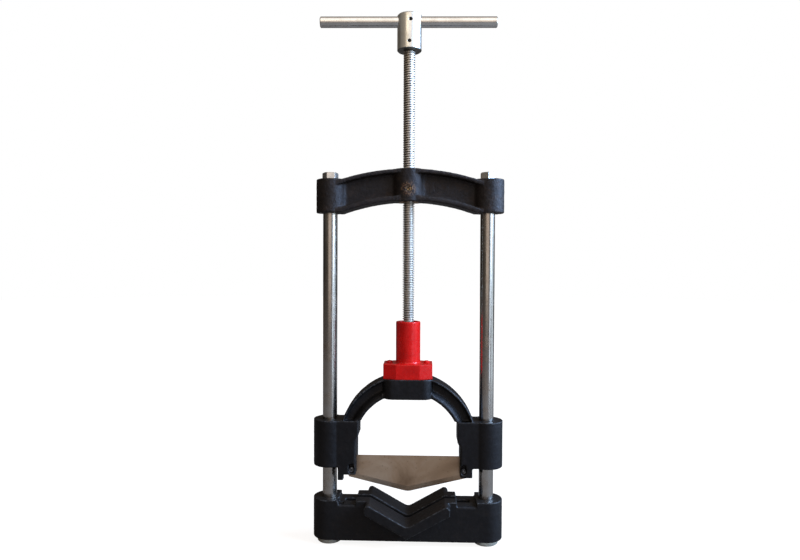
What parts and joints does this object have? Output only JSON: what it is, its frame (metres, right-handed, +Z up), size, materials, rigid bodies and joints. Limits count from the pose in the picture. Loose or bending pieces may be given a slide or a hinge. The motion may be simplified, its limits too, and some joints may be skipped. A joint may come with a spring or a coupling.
{
  "type": "guillotine pipe cutter",
  "caption": "Screw-driven guillotine cutter for plastic pipe: a T-handle and screw push an arched yoke with a vee blade down two guide rods into a slotted vee anvil.",
  "frame": {"origin": "centre of the footprint, on the plane that the two foot discs stand on", "axes": "+Z up along the screw, X across the two guide rods, Y along the pipe that lies in the vee"},
  "size_m": [0.328, 0.102, 0.909],
  "materials": {
    "base_casting": "satin black enamel over cast iron",
    "foot_disc_left": "zinc plated",
    "foot_disc_right": "zinc plated",
    "foot_screw_left": "zinc plated",
    "foot_screw_right": "zinc plated",
    "guide_rod_left": "polished steel",
    "guide_rod_right": "polished steel",
    "crossbeam": "rough cast surface, black enamel",
    "nut_bush": "turned bronze",
    "nut_lock_screw": "rusty steel",
    "top_bolt_left": "zinc plated",
    "top_bolt_right": "zinc plated",
    "yoke_casting": "semi-gloss black enamel over cast iron",
    "blade": "ground steel",
    "blade_screw_left": "black oxide, worn bright",
    "blade_screw_right": "black oxide, worn bright",
    "coupling_housing": "gloss red enamel",
    "flange_screw_left": "gloss red enamel",
    "flange_screw_right": "gloss red enamel",
    "thrust_washer": "turned bronze",
    "lead_screw": "rolled thread, lightly oiled",
    "retaining_collar": "turned",
    "collar_pin": "ground",
    "handle_hub": "zinc plated",
    "tommy_bar": "zinc plated",
    "hub_pin_lower": "ground",
    "hub_pin_upper": "ground"
  },
  "bodies": {
    "frame": {"base_casting": "base_casting", "foot_disc_left": "foot_disc_left", "foot_disc_right": "foot_disc_right", "foot_screw_left": "foot_screw_left", "foot_screw_right": "foot_screw_right", "guide_rod_left": "guide_rod_left", "guide_rod_right": "guide_rod_right", "crossbeam": "crossbeam", "nut_bush": "nut_bush", "nut_lock_screw": "nut_lock_screw", "top_bolt_left": "top_bolt_left", "top_bolt_right": "top_bolt_right"},
    "yoke": {"yoke_casting": "yoke_casting", "blade": "blade", "blade_screw_left": "blade_screw_left", "blade_screw_right": "blade_screw_right", "coupling_housing": "coupling_housing", "flange_screw_left": "flange_screw_left", "flange_screw_right": "flange_screw_right", "thrust_washer": "thrust_washer"},
    "screw": {"lead_screw": "lead_screw", "retaining_collar": "retaining_collar", "collar_pin": "collar_pin", "handle_hub": "handle_hub", "tommy_bar": "tommy_bar", "hub_pin_lower": "hub_pin_lower", "hub_pin_upper": "hub_pin_upper"}
  },
  "joints": [
    {"name": "yoke_slide", "type": "slide", "parent": "frame", "child": "yoke", "axis": [0, 0, 1], "range_m": [-0.0442, 0.2002]},
    {"name": "screw_turn", "type": "hinge", "parent": "yoke", "child": "screw", "pos_m": [0, 0, 0.3], "axis": [0, 0, 1], "range_deg": [-3960, 18000]}
  ],
  "couplings": [
    {"joint": "yoke_slide", "follows": "screw_turn", "m_per_rad": 0.00063662}
  ]
}
